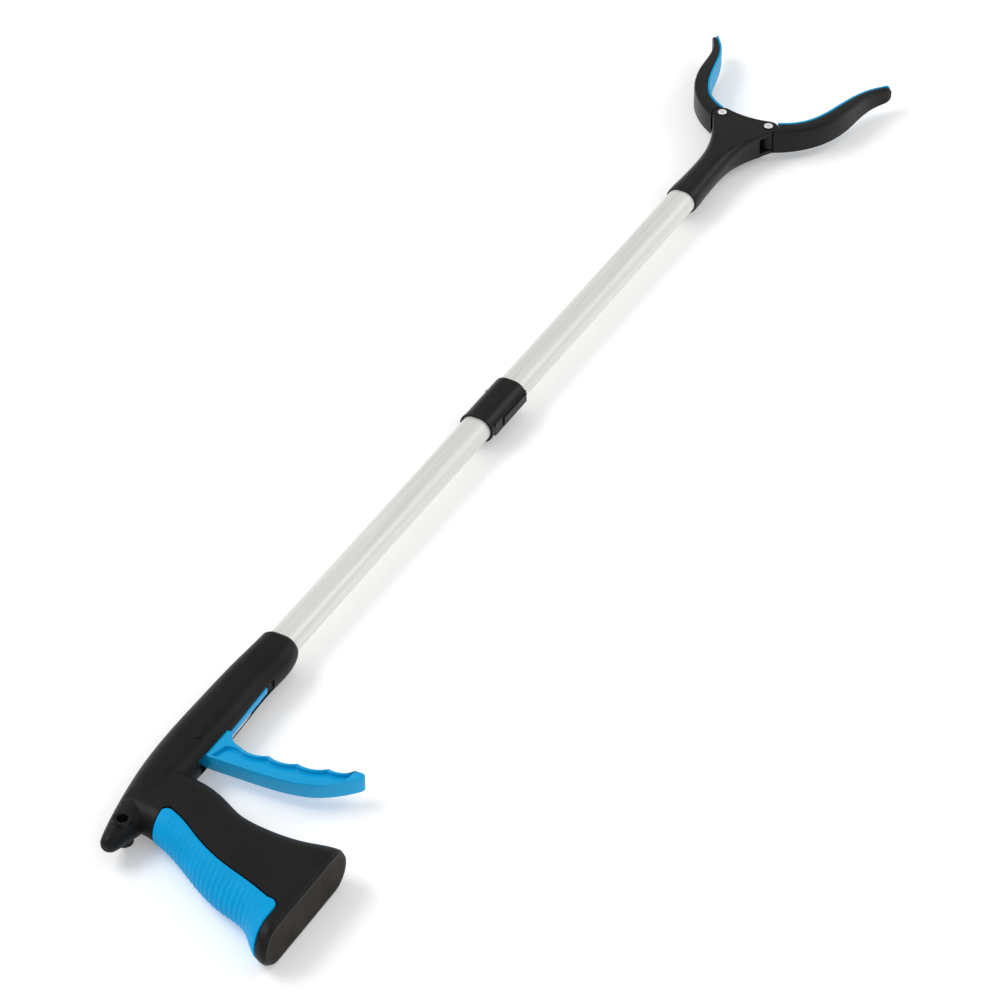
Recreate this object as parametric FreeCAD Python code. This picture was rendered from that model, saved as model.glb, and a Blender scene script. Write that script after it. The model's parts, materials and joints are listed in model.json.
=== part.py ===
"""Folding reacher grabber: pistol handle, oval shaft that folds at a sleeve, and a cable-worked jaw head.

Drawn about the shaft: X runs from handle to jaws, Z is the normal of the handle and jaw plane, and the grip
hangs towards -Y.  Every solid is moved by OFFSET at the end, so the origin is the middle of the base of the
whole object as it lies on its side.  Millimetres.
"""
import FreeCAD, Part
import math
import os

V = FreeCAD.Vector
X, Y, Z = V(1, 0, 0), V(0, 1, 0), V(0, 0, 1)

# ---- shaft -------------------------------------------------------------------------------------------
TUBE_A, TUBE_B = 8.5, 6.8            # half width (Y) and half height (Z) of the oval tube
TUBE_WALL = 1.0
FIT = 0.05                           # gap of parts that are assembled and stay put
RUN = 0.10                           # gap of parts that move
TUBE_REAR_X = -198.0                 # rear end of the lower tube, inside the handle
LOWER_TUBE_END_X = 35.9
UPPER_TUBE_START_X = 65.3
UPPER_TUBE_END_X = 284.0
PLUG_A = TUBE_A - TUBE_WALL - FIT    # solid plugs inside the tubes
PLUG_B = TUBE_B - TUBE_WALL - FIT
CABLE_R = 0.7
CABLE_BORE_R = 1.4
CABLE_Y = 3.6                        # the cable passes just inside the fold pin
CABLE_REAR_Y = -4.5                  # and leaves the tube low, towards the trigger
CABLE_SPLIT_X = 68.0                 # the fold's length of cable ends here
TUBE_SCREW_R = 1.5                   # screws that hold the handle and the head on the tubes
BARREL_SCREW_X, HEAD_SCREW_X = -184.0, 276.0
TONGUE_PIN_AT, TONGUE_PIN_R = (78.0, -3.0), 1.2
FAR = 130.0                          # reach of a cutting block, beyond any part

# ---- handle ------------------------------------------------------------------------------------------
WALL = 2.2                           # shell wall of the barrel
GRIP_WALL = 4.0                      # grip wall: shell under the pad plus the pad's recess
PAD_DEPTH = 2.0
PAD_PROUD = 0.5
PAD_GROOVE = 0.8
# barrel sections: x, centre y, half width, half height
BARREL = [(-174.5, -0.1, 10.9, 8.4), (-200.0, -0.3, 12.3, 9.3), (-230.0, -0.5, 13.1, 9.8),
          (-260.0, -0.7, 13.3, 10.2), (-285.0, -1.4, 12.4, 10.2), (-305.0, -2.5, 10.6, 9.3),
          (-320.0, -2.8, 8.0, 7.5), (-333.0, -3.0, 5.0, 4.9)]
BARREL_FRONT = (-173.0, -0.1, 10.1, 7.6)
NOSE = [(-335.4, -3.0, 4.1, 4.0), (-336.8, -3.0, 2.9, 2.8), (-337.5, -3.0, 1.6, 1.5)]
# grip sections: y, centre x, half width, half height
GRIP = [(3.0, -298.0, 19.0, 8.6), (-6.0, -298.4, 19.2, 9.5), (-16.0, -299.2, 19.8, 9.8),
        (-32.0, -303.6, 21.3, 10.4), (-50.0, -312.5, 22.3, 10.8), (-70.0, -318.1, 25.4, 11.0),
        (-88.0, -320.6, 29.3, 11.4),
        (-99.0, -324.4, 35.6, 12.0), (-105.0, -325.4, 37.2, 12.1)]
BUTT = (-107.0, -325.4, 36.0, 10.9)
CAP_A, CAP_B, CAP_DEPTH = 34.0, 8.9, 3.0
# edge of the soft pad on the side of the grip; the pad covers everything behind it
PAD_EDGE = [(-306.5, -20.5), (-310.5, -30.0), (-318.5, -44.0), (-326.8, -63.0), (-332.2, -82.0),
            (-336.4, -93.5)]
PAD_TOP_Y, PAD_FOOT_Y = -17.6, -100.6
PAD_CORNER = 4.0                     # rounding of the pad's front corners
LANYARD_AT, LANYARD_R = (-322.5, -3.6), 3.0
LANYARD_RIM_R, LANYARD_RIM_Z = 4.7, 7.6
SCREWS = [(-228.0, 6.6), (-290.0, -4.0), (-305.0, -52.0), (-318.0, -92.0)]
SCREW_R, SCREW_HEAD_R, SCREW_HEAD_H, BOSS_R = 1.4, 2.8, 2.0, 3.4
SCREW_TIP_Z = 5.0

# ---- trigger -----------------------------------------------------------------------------------------
PIVOT = (-258.1, -4.7)
PIVOT_R, HUB_R = 2.5, 6.5
TRIGGER_HALF = 4.5                   # half thickness (Z)
SLOT_HALF = 5.0                      # the trigger's opening in the barrel
LEAF_SLOT_HALF = 3.1                 # its narrower part ahead of the trigger
SLOT_X = (-269.8, -242.8, -204.0)
LEVER_BACK = [(-263.4, -15.0), (-262.8, -25.0), (-261.9, -40.0), (-260.1, -56.0), (-255.9, -69.8),
              (-248.4, -80.6), (-242.0, -86.8)]
KNUCKLES = [(-237.8, -82.0), (-242.8, -69.8), (-246.9, -54.8), (-248.9, -39.6), (-250.4, -25.0)]
SCALLOP_DEPTH, POCKET_DEPTH = 2.0, 1.3
ANCHOR = (-245.5, -12.9, -2.1)       # middle of the cable's nipple in the trigger
LEAF_TIP_X = -206.0
LEAF_Z = (-0.9, 2.7)

# ---- fold joint --------------------------------------------------------------------------------------
SLEEVE_A, SLEEVE_B = 9.8, 7.7
SLEEVE_X = (27.3, 64.9)
FOLD_AT = (54.0, 6.2)
FOLD_PIN_R = 1.5
FOLD_SLOT_X = 36.0                   # the sleeve is open towards +Y from here forward
FOLD_SLOT_HALF = 4.1
FLOOR_Y = -8.5                       # inside of the sleeve's -Y wall
HOOK_X, HOOK_REACH = 60.2, 2.0
LOCK_X = (39.5, 64.3)
LOCK_HALF, LOCK_HIGH = 2.8, 0.7

# ---- head and jaws -----------------------------------------------------------------------------------
# neck sections: x, half width, half height, corner radius
NECK = [(268.5, 9.4, 7.7, 7.5), (280.0, 9.3, 7.7, 7.5), (291.0, 8.8, 7.6, 7.3), (304.0, 8.4, 7.6, 6.6),
        (316.0, 8.7, 7.7, 5.0), (326.0, 10.4, 7.8, 3.2), (334.0, 13.0, 7.8, 1.8), (340.0, 15.7, 7.8, 0.9)]
FLARE = [(318.0, 8.7), (330.0, 11.7), (338.0, 14.8)]
FORK_X = 338.5                       # from here on the head is two flat plates
RIVET = (351.0, 15.1)
RIVET_R, RIVET_BORE_R = 2.0, 0.9
WASHER_R, WASHER_SUNK, WASHER_HIGH = 3.1, 0.6, 0.85
LUG_R = 5.9
FRONT_R = 50.0                       # radius of the fork's hollow front edge
PLATE_HALF = 7.8                     # outer face of the fork's plates
FORK_HALF = 4.9                      # inner face
JAW_BASE_HALF, JAW_TIP_HALF = 7.6, 5.4
JAW_TAPER_X = 392.0                  # the jaw gets lower from here to the tip
JAW_NOSE = (425.4, 429.6)
JAW_OUTER = [(346.9, 20.4), (350.6, 26.2), (357.4, 34.1), (366.6, 41.3), (378.0, 46.4), (391.0, 49.3),
             (404.0, 50.8), (416.0, 53.8), (427.2, 60.1)]
JAW_INNER = [(358.0, 18.0), (361.9, 24.6), (368.3, 31.2), (378.2, 36.5), (390.0, 40.1), (403.4, 43.3),
             (417.0, 48.1), (429.6, 57.0)]
LINER = 1.4
PIN_Y, PIN_AHEAD, PIN_R = 6.6, 2.85, 1.5     # yoke pins at rest, ahead of the rivets
ARM_HALF, ARM_WIDE, ARM_REACH = 2.0, 2.9, 9.0
ARM_SLOT = (8.4, 9.1)                # travel of the yoke pin along the arm, from the rivet
YOKE_X, YOKE_HIGH, YOKE_GAP = (328.0, 334.0), 4.6, 2.3
STEM_HALF, CROSS_HALF, CROSS_X = 5.4, 8.4, 350.0
CAVITY = [((320.0, 346.0), 6.0), ((342.8, 380.0), 9.6)]      # inside of the fork: x, half width
SPRING_X, SPRING_R, SPRING_WIRE, SPRING_TURNS = (307.6, 322.6), 2.0, 0.35, 7
SEAT_X, SEAT_R = (301.0, 306.8), 2.6
FERRULE_X, FERRULE_R = (318.4, 323.5), 1.5

OFFSET = V(-33.5, 23.45, 12.537)       # from the shaft frame to the middle of the whole object's base


# ---- helpers -----------------------------------------------------------------------------------------
def box(x, y, z):
    """Block between the (low, high) pairs x, y and z."""
    return Part.makeBox(x[1] - x[0], y[1] - y[0], z[1] - z[0], V(x[0], y[0], z[0]))


def rod(start, end, radius):
    """Round bar between two points."""
    start, end = V(*start), V(*end)
    return Part.makeCylinder(radius, (end - start).Length, start, end - start)


def post(at, z, radius):
    """Upright round bar at the plan point `at` between the heights z."""
    return rod((at[0], at[1], z[0]), (at[0], at[1], z[1]), radius)


def oval(centre, u, w, a, b):
    """Closed wire with two flats and two round ends: half length a along u, half height b along w."""
    flat = u * (a - b)
    p = [centre + flat + w * b, centre - flat + w * b, centre - flat - w * b, centre + flat - w * b]
    edges = [Part.LineSegment(p[0], p[1]), Part.Arc(p[1], centre - u * a, p[2]),
             Part.LineSegment(p[2], p[3]), Part.Arc(p[3], centre + u * a, p[0])]
    return Part.Wire([e.toShape() for e in edges])


def oval_bar(x, a, b):
    """Oval bar along the shaft between the pair x."""
    return Part.Face(oval(V(x[0], 0, 0), Y, Z, a, b)).extrude(X * (x[1] - x[0]))


def barrel_wire(section, inset=0.0):
    x, y, a, b = section
    return oval(V(x, y, 0), Y, Z, a - inset, b - inset)


def grip_wire(section, inset=0.0):
    y, x, a, b = section
    return oval(V(x, y, 0), X, Z, a - inset, b - inset)


def loft(wires, ruled=False):
    return Part.makeLoft(wires, True, ruled)


def spline(points):
    curve = Part.BSplineCurve()
    curve.interpolate([V(x, y, 0) for x, y in points])
    return curve


def line(p, q):
    return Part.LineSegment(V(p[0], p[1], 0), V(q[0], q[1], 0))


def dished(p, q, depth):
    """Arc from p to q that dips by depth to the left of the way from p to q."""
    mid = V((p[0] + q[0]) / 2, (p[1] + q[1]) / 2, 0)
    way = V(q[0] - p[0], q[1] - p[1], 0).normalize()
    return Part.Arc(V(p[0], p[1], 0), mid + V(-way.y, way.x, 0) * depth, V(q[0], q[1], 0))


def rounded(x, a, b, r):
    """Rounded rectangle across the shaft at x: half width a, half height b, corner radius r."""
    edges = []
    corners = [(1, 1), (-1, 1), (-1, -1), (1, -1)]
    for (sy, sz), (ty, tz) in zip(corners, corners[1:] + corners[:1]):
        y, z = sy * (a - r), sz * (b - r)
        low, high = V(x, sy * a, z), V(x, y, sz * b)
        start, end = (low, high) if sy * sz > 0 else (high, low)
        middle = V(x, y + sy * r * math.sqrt(0.5), z + sz * r * math.sqrt(0.5))
        edges.append(Part.Arc(start, middle, end))
        ny, nz = ty * (a - r), tz * (b - r)
        far = V(x, ny, tz * b) if sz == tz else V(x, ty * a, nz)
        edges.append(Part.LineSegment(end, far))
    return Part.Wire([e.toShape() for e in edges])


def link(p, q, half, z):
    """Flat bar with round ends between two plan points."""
    p, q = V(*p, 0), V(*q, 0)
    way = (q - p).normalize()
    side = V(-way.y, way.x, 0) * half
    return slab([Part.LineSegment(p + side, q + side), Part.Arc(q + side, q + way * half, q - side),
                 Part.LineSegment(q - side, p - side), Part.Arc(p - side, p - way * half, p + side)], z)


def slab(curves, z):
    """Outline made of curves in order, as a solid between the heights z."""
    wire = Part.Wire(Part.__sortEdges__([c.toShape() for c in curves]))
    wire.translate(V(0, 0, z[0]))
    return Part.Face(wire).extrude(Z * (z[1] - z[0]))


def mirrored(shape):
    return shape.mirror(V(0, 0, 0), Y)


# ---- handle ------------------------------------------------------------------------------------------
def grip_solid(inset=0.0):
    return loft([grip_wire(s, inset) for s in GRIP]).fuse(
        loft([grip_wire(GRIP[-1], inset), grip_wire(BUTT, inset)], True))


def handle_outside():
    barrel = loft([barrel_wire(s) for s in BARREL])
    front = loft([barrel_wire(BARREL_FRONT), barrel_wire(BARREL[0])], True)
    nose = loft([barrel_wire(s) for s in [BARREL[-1]] + NOSE], True)
    rim = post(LANYARD_AT, (-LANYARD_RIM_Z, LANYARD_RIM_Z), LANYARD_RIM_R)
    return barrel.fuse([front, nose, rim, grip_solid()])


def handle_inside():
    hollow = BARREL[1:-2]
    barrel = loft([barrel_wire(s, WALL) for s in hollow])
    grip = loft([grip_wire(s, GRIP_WALL) for s in GRIP[1:]])
    throat = box((-312, -284), (-24, 0), (-6, 6))
    return barrel.fuse([grip, throat])


def pad_region(gap):
    """Plan area of the soft pad, pulled in by gap."""
    edge = [(x - gap, y) for x, y in PAD_EDGE]
    far = -390.0
    top, foot = PAD_TOP_Y - gap, PAD_FOOT_Y + gap
    first, last = edge[0], edge[-1]
    head = (first[0] - PAD_CORNER, top)
    heel = (last[0] - PAD_CORNER, foot)
    curves = [spline(edge), Part.Arc(V(*last, 0), V(last[0] - 0.9, foot + 2.6, 0), V(*heel, 0)),
              line(heel, (far, foot - 1.0)), line((far, foot - 1.0), (far, top)), line((far, top), head),
              Part.Arc(V(*head, 0), V(first[0] - 1.2, top - 0.8, 0), V(*first, 0))]
    return slab(curves, (-20, 20))


def grip_pad():
    return grip_solid(-PAD_PROUD).cut(grip_solid(PAD_DEPTH)).common(pad_region(PAD_GROOVE))


def handle_shells():
    outside = handle_outside()
    high = 20.0
    bosses = [post(at, (-high, high), BOSS_R) for at in SCREWS]
    hub_room = TRIGGER_HALF - 0.4
    pivot_boss = post(PIVOT, (-high, high), PIVOT_R + 2.4).cut(
        box((-275, -240), (-20, 10), (-hub_room, hub_room)))
    shell = outside.cut(handle_inside())
    shell = shell.fuse([b.common(outside) for b in bosses + [pivot_boss]])
    cuts = [oval_bar((TUBE_REAR_X - FIT, 0), TUBE_A + FIT, TUBE_B + FIT),
            oval_bar((BARREL[1][0] - 2, TUBE_REAR_X), TUBE_A, TUBE_B),
            box(SLOT_X[:2], (-30, -9), (-SLOT_HALF, SLOT_HALF)),
            box(SLOT_X[1:], (-30, -9), (-LEAF_SLOT_HALF, LEAF_SLOT_HALF)),
            box((-205.5, -199.5), (-30, -11.6), (-LEAF_SLOT_HALF, LEAF_SLOT_HALF)),
            post(LANYARD_AT, (-high, high), LANYARD_R),
            post(PIVOT, (-high, high), PIVOT_R + FIT / 2),
            tube_screw_hole(BARREL_SCREW_X),
            cap_plate(BUTT[0] - 1, FIT, CAP_DEPTH + 1),
            pad_region(0.0).common(grip_solid(-3.0).cut(grip_solid(PAD_DEPTH)))]
    for at in SCREWS:
        cuts.append(post(at, (-high, SCREW_TIP_Z + 0.4), SCREW_R + FIT))
        cuts.append(post(at, (-high, screw_seat(at)), SCREW_HEAD_R + 0.2))
    shell = shell.cut(cuts)
    span = (-400.0, -100.0)
    upper = shell.common(box(span, (-FAR, FAR), (0, high)))
    lower = shell.common(box(span, (-FAR, FAR), (-high, 0)))
    return biggest(upper), biggest(lower)


def biggest(shape):
    return max(shape.Solids, key=lambda s: s.Volume)


def screw_seat(at):
    """Height of the counterbore floor, a little inside the lower shell."""
    return -5.2 if at[0] > -300 else -6.4


def shell_screws():
    solids = []
    for at in SCREWS:
        seat = screw_seat(at)
        head = post(at, (seat - SCREW_HEAD_H, seat), SCREW_HEAD_R)
        depth = (seat - SCREW_HEAD_H, seat - 0.9)
        drive = [box((at[0] - long, at[0] + long), (at[1] - wide, at[1] + wide), depth)
                 for long, wide in ((1.7, 0.35), (0.35, 1.7))]
        solids.append(head.cut(drive).fuse(post(at, (seat, SCREW_TIP_Z), SCREW_R)))
    return Part.makeCompound(solids)


def cap_plate(y, grow, depth):
    """Oval plate of the butt cap's plan, from y inwards."""
    return Part.Face(oval(V(BUTT[1], y, 0), X, Z, CAP_A + grow, CAP_B + grow)).extrude(Y * depth)


def butt_cap():
    return cap_plate(BUTT[0], 0.0, CAP_DEPTH)


def trigger_pin():
    return post(PIVOT, (-10.1, 10.2), PIVOT_R)


def cable_guide():
    bush = oval_bar((TUBE_REAR_X, TUBE_REAR_X + 9), PLUG_A, PLUG_B)
    return bush.cut(cable_path(-210, -180, CABLE_BORE_R))


def tube_screw(x, head_z):
    """Headless screw through the underside of a socket into the tube."""
    return post((x, 0), (head_z, -4.0), TUBE_SCREW_R)


def tube_screw_hole(x):
    return post((x, 0), (-20, 0), TUBE_SCREW_R + FIT)


# ---- shaft -------------------------------------------------------------------------------------------
def tube(x):
    return oval_bar(x, TUBE_A, TUBE_B).cut(oval_bar(x, TUBE_A - TUBE_WALL, TUBE_B - TUBE_WALL))


def lower_tube():
    return tube((TUBE_REAR_X, LOWER_TUBE_END_X)).cut(tube_screw_hole(BARREL_SCREW_X))


def upper_tube():
    pin_hole = post(TONGUE_PIN_AT, (-10, 0), TONGUE_PIN_R + FIT)
    return tube((UPPER_TUBE_START_X, UPPER_TUBE_END_X)).cut([pin_hole, tube_screw_hole(HEAD_SCREW_X)])


def cable_y(x):
    """The lower cable rises evenly from the trigger side to the fold pin side."""
    share = (x - TUBE_REAR_X) / (LOWER_TUBE_END_X - TUBE_REAR_X)
    return CABLE_REAR_Y + share * (CABLE_Y - CABLE_REAR_Y)


def cable_path(x0, x1, radius):
    return rod((x0, cable_y(x0), 0), (x1, cable_y(x1), 0), radius)


def lower_plug():
    """Guide in the end of the lower tube."""
    return oval_bar((18.0, LOWER_TUBE_END_X), PLUG_A, PLUG_B).cut(cable_path(0, 60, CABLE_BORE_R))


def fold_sleeve():
    body = oval_bar(SLEEVE_X, SLEEVE_A, SLEEVE_B)
    rail = box((31.0, SLEEVE_X[1]), (-SLEEVE_A, FLOOR_Y), (-3.9, 3.9))
    collar = oval_bar((SLEEVE_X[0], SLEEVE_X[0] + 1.6), SLEEVE_A + 0.25, SLEEVE_B + 0.25)
    body = body.fuse([rail, collar])
    slot = box((FOLD_SLOT_X, SLEEVE_X[1] + 1), (FLOOR_Y, 20), (-FOLD_SLOT_HALF, FOLD_SLOT_HALF))
    socket = oval_bar((SLEEVE_X[0] - 1, FOLD_SLOT_X), TUBE_A + FIT, TUBE_B + FIT)
    pin_hole = post(FOLD_AT, (-10, 6.1), FOLD_PIN_R + FIT / 2)
    track = box((HOOK_X - 10.4, HOOK_X + RUN), (-15, FLOOR_Y), (-1.5, 1.5))
    return body.cut([slot, socket, pin_hole, track])


def fold_pin():
    return post(FOLD_AT, (-6.3, 6.0), FOLD_PIN_R)


def fold_tongue():
    """Plug of the upper tube with the tongue that turns on the fold pin."""
    half = FOLD_SLOT_HALF - RUN
    tongue = box((FOLD_AT[0], UPPER_TUBE_START_X - FIT), (FLOOR_Y + RUN, 7.9), (-half, half))
    tongue = tongue.common(oval_bar((40, 70), TUBE_A, TUBE_B))
    knuckle = post(FOLD_AT, (-half, half), 2.9)
    plug = oval_bar((UPPER_TUBE_START_X - 0.3, 92.0), PLUG_A, PLUG_B)
    cuts = [post(FOLD_AT, (-10, 10), FOLD_PIN_R + 0.05),
            rod((40, CABLE_Y, 0), (100, CABLE_Y, 0), CABLE_BORE_R),
            box((40, HOOK_X + RUN), (-12, -5.6), (-2.4, 2.4)),
            box((50, HOOK_X + HOOK_REACH + 0.6), (-7.3, -5.6), (-2.4, 2.4)),
            post(TONGUE_PIN_AT, (-10, 4.1), TONGUE_PIN_R + FIT)]
    return tongue.fuse([knuckle, plug]).cut(cuts)


def tongue_pin():
    return post(TONGUE_PIN_AT, (-6.5, 4.0), TONGUE_PIN_R)


def lock_slider():
    """Thumb bar outside the sleeve, with a neck through its wall and a hook over the tongue's lip."""
    top = -(SLEEVE_A + RUN)
    bar = box(LOCK_X, (top - LOCK_HIGH, top), (-LOCK_HALF, LOCK_HALF))
    rim = [e for e in bar.Edges if e.CenterOfMass.y < top - LOCK_HIGH + 0.1]
    bar = bar.makeFillet(0.45, rim)
    neck = box((HOOK_X - 4.0, HOOK_X), (top, -6.0), (-1.4, 1.4))
    hook = box((HOOK_X - 4.0, HOOK_X + HOOK_REACH), (-7.2, -6.0), (-1.4, 1.4))
    return bar.fuse([neck, hook])


# ---- cable -------------------------------------------------------------------------------------------
def run_of_cable(points):
    """Cable along straight runs with ball joints at the corners."""
    parts = [rod(p, q, CABLE_R) for p, q in zip(points, points[1:])]
    balls = [Part.makeSphere(CABLE_R, V(*p)) for p in points[1:-1]]
    return parts[0].fuse(parts[1:] + balls)


def cable_lead():
    return run_of_cable([(ANCHOR[0] + 2.1, ANCHOR[1], ANCHOR[2]), (-221.0, -11.9, -2.1), (-210.0, -8.4, -1.0),
                         (TUBE_REAR_X - 2.4, cable_y(TUBE_REAR_X - 2.4), 0)])


def cable_lower():
    return cable_path(TUBE_REAR_X - 2.0, LOWER_TUBE_END_X, CABLE_R)


def cable_fold():
    return rod((LOWER_TUBE_END_X + FIT, CABLE_Y, 0), (CABLE_SPLIT_X, CABLE_Y, 0), CABLE_R)


def cable_upper():
    return rod((CABLE_SPLIT_X + FIT, CABLE_Y, 0), (FERRULE_X[1] + 0.5, CABLE_Y, 0), CABLE_R)


def cable_anchor():
    """Steel nipple that holds the cable's end in the trigger."""
    x, y, z = ANCHOR
    return rod((x - 2.2, y, z), (x + 2.0, y, z), 1.3)


# ---- trigger -----------------------------------------------------------------------------------------
def lever_outline():
    tip = (-237.4, -85.4)
    curves = [spline(LEVER_BACK), Part.Arc(V(*LEVER_BACK[-1], 0), V(-238.9, -87.8, 0), V(*tip, 0)),
              line(tip, KNUCKLES[0])]
    for p, q in zip(KNUCKLES, KNUCKLES[1:]):
        curves.append(dished(p, q, SCALLOP_DEPTH))
    root = (-243.0, -14.9)
    top = (-243.0, -11.8)
    curves += [Part.Arc(V(*KNUCKLES[-1], 0), V(-248.4, -19.4, 0), V(*root, 0)), line(root, top),
               line(top, (-253.0, -3.0)), line((-253.0, -3.0), (-263.2, -4.0)),
               line((-263.2, -4.0), LEVER_BACK[0])]
    return curves


def trigger():
    body = slab(lever_outline(), (-TRIGGER_HALF, TRIGGER_HALF))
    hub = post(PIVOT, (-4.0, 4.0), HUB_R)
    side_trim = [box((-275, -240), (-11.0, 10), (4.0, 10)), box((-275, -240), (-11.0, 10), (-10, -4.0))]
    body = body.cut(side_trim).fuse(hub)
    deep = TRIGGER_HALF - POCKET_DEPTH
    pocket = [slab(pocket_outline(), z) for z in ((deep, deep + 10), (-deep - 10, -deep))]
    seat = rod((ANCHOR[0] - 2.25, ANCHOR[1], ANCHOR[2]), (ANCHOR[0] + 6, ANCHOR[1], ANCHOR[2]), 1.35)
    return body.cut(pocket + [post(PIVOT, (-10, 10), PIVOT_R + 0.04), seat])


def pocket_outline():
    """Long shallow pocket in each side of the lever."""
    back = [(x + 2.0, y) for x, y in LEVER_BACK[1:-1]]
    front = [(-246.6, -76.4), (-249.6, -66.0), (-253.4, -52.0), (-255.0, -38.0), (-256.0, -26.0)]
    return [spline(back), line(back[-1], front[0]), spline(front), line(front[-1], back[0])]


def trigger_leaf():
    """Flexible leaf that closes the slot ahead of the trigger."""
    root = -242.9
    corners = [(root, -14.0), (LEAF_TIP_X, -12.4), (LEAF_TIP_X, -10.7), (root, -11.9)]
    return slab([line(p, q) for p, q in zip(corners, corners[1:] + corners[:1])], LEAF_Z)


# ---- head --------------------------------------------------------------------------------------------
def head_side(s):
    """Neck flare and rivet lug of one side of the fork, up to where the hollow front touches the lug."""
    x, y = RIVET
    lug_angle, mid_angle = math.radians(124), math.radians(55)
    lug, bulge = [(x + LUG_R * math.cos(a), s * (y + LUG_R * math.sin(a))) for a in (lug_angle, mid_angle)]
    flare = [(px, s * py) for px, py in FLARE] + [lug]
    neck_curve = Part.BSplineCurve()
    neck_curve.interpolate(Points=[V(px, py, 0) for px, py in flare], InitialTangent=V(1, 0, 0),
                           FinalTangent=V(math.sin(lug_angle), -s * math.cos(lug_angle), 0))
    ahead = math.sqrt((FRONT_R + LUG_R) ** 2 - y ** 2)
    share = LUG_R / (FRONT_R + LUG_R)
    touch = (x + ahead * share, s * (y - y * share))
    hollow_x = x + ahead - FRONT_R
    return [neck_curve, Part.Arc(V(*lug, 0), V(*bulge, 0), V(*touch, 0))], flare[0], touch, hollow_x


def head_plan(z):
    """Plan of the fork: neck, flared sides, a lug round each rivet and a slightly hollow front."""
    left, neck, touch, hollow_x = head_side(1)
    right = head_side(-1)[0]
    hollow = Part.Arc(V(*touch, 0), V(hollow_x, 0, 0), V(touch[0], -touch[1], 0))
    return slab(left + right + [hollow, line(neck, (neck[0], -neck[1]))], z)


def head_fork():
    neck = loft([rounded(*s) for s in NECK])
    plates = head_plan((-PLATE_HALF, PLATE_HALF)).common(box((FORK_X, 380), (-40, 40), (-20, 20)))
    rims = [e for e in plates.Edges
            if abs(abs(e.CenterOfMass.z) - PLATE_HALF) < 0.01 and e.CenterOfMass.x > FORK_X + 0.1]
    plates = plates.makeFillet(0.9, rims)
    body = neck.fuse(plates)
    x, y = RIVET
    inside = (-FORK_HALF, FORK_HALF)
    cavity = [box(room, (-half, half), inside) for room, half in CAVITY]
    swing = [post((x, s * y), inside, LUG_R + 0.3) for s in (-1, 1)]
    mouth = [wedge(s) for s in (-1, 1)]
    cuts = [oval_bar((NECK[0][0] - 1, UPPER_TUBE_END_X + FIT), TUBE_A + FIT, TUBE_B + FIT),
            rod((UPPER_TUBE_END_X - 1, CABLE_Y, 0), (SEAT_X[0], CABLE_Y, 0), CABLE_BORE_R),
            rod((SEAT_X[0], CABLE_Y, 0), (CAVITY[0][0][0] + 1, CABLE_Y, 0), SEAT_R + RUN),
            tube_screw_hole(HEAD_SCREW_X)]
    cuts += [post((x, s * y), (-20, 20), RIVET_R + FIT / 2) for s in (-1, 1)]
    cuts += [post((x, s * y), (PLATE_HALF - WASHER_SUNK, 20), WASHER_R + 2 * RUN) for s in (-1, 1)]
    cuts += [post((x, s * y), (-20, WASHER_SUNK - PLATE_HALF), WASHER_R + 2 * RUN) for s in (-1, 1)]
    return biggest(body.cut(cuts + cavity + swing + mouth))


def wedge(side):
    """Opening between the plates on one side, where the jaw leaves the fork."""
    x, y = RIVET
    pts = [(x, side * (y - 9)), (x + 30, side * (y - 9)), (x + 30, side * 60), (x - 14, side * 60),
           (x - 11.5, side * 14.0)]
    curves = [line(p, q) for p, q in zip(pts, pts[1:] + pts[:1])]
    return slab(curves, (-FORK_HALF, FORK_HALF))


def jaw_rivets():
    x, y = RIVET
    solids = []
    for s in (-1, 1):
        shank = post((x, s * y), (-PLATE_HALF - 0.5, PLATE_HALF + 0.5), RIVET_R)
        heads = [Part.makeCone(2.6, 2.1, 0.5, V(x, s * y, PLATE_HALF + 0.25)),
                 Part.makeCone(2.1, 2.6, 0.5, V(x, s * y, -PLATE_HALF - 0.75))]
        bore = post((x, s * y), (PLATE_HALF - 1.5, 20), RIVET_BORE_R)
        solids.append(shank.fuse(heads).cut(bore))
    return Part.makeCompound(solids)


def rivet_washers():
    x, y = RIVET
    rings = []
    for s in (-1, 1):
        for z in (PLATE_HALF - WASHER_SUNK, WASHER_SUNK - PLATE_HALF - WASHER_HIGH):
            ring = post((x, s * y), (z, z + WASHER_HIGH), WASHER_R)
            rings.append(ring.cut(post((x, s * y), (-20, 20), RIVET_R + FIT)))
    return Part.makeCompound(rings)


def coil(x, y, radius, wire, turns, length):
    """Coil spring along +X."""
    helix = Part.makeHelix(length / turns, length, radius)
    ring = Part.Wire(Part.makeCircle(wire, V(radius, 0, 0), V(0, 1, 0)))
    spring = Part.Wire(helix).makePipeShell([ring], True, True)
    spring.rotate(V(0, 0, 0), Y, 90)
    spring.translate(V(x, y, 0))
    return spring


def head_spring():
    return coil(SPRING_X[0], CABLE_Y, SPRING_R, SPRING_WIRE, SPRING_TURNS, SPRING_X[1] - SPRING_X[0])


def spring_seat():
    ring = rod((SEAT_X[0], CABLE_Y, 0), (SEAT_X[1], CABLE_Y, 0), SEAT_R)
    return ring.cut(rod((SEAT_X[0] - 1, CABLE_Y, 0), (SEAT_X[1] + 1, CABLE_Y, 0), CABLE_BORE_R))


def yoke_pin_at(side):
    return (RIVET[0] + PIN_AHEAD, side * PIN_Y)


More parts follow.
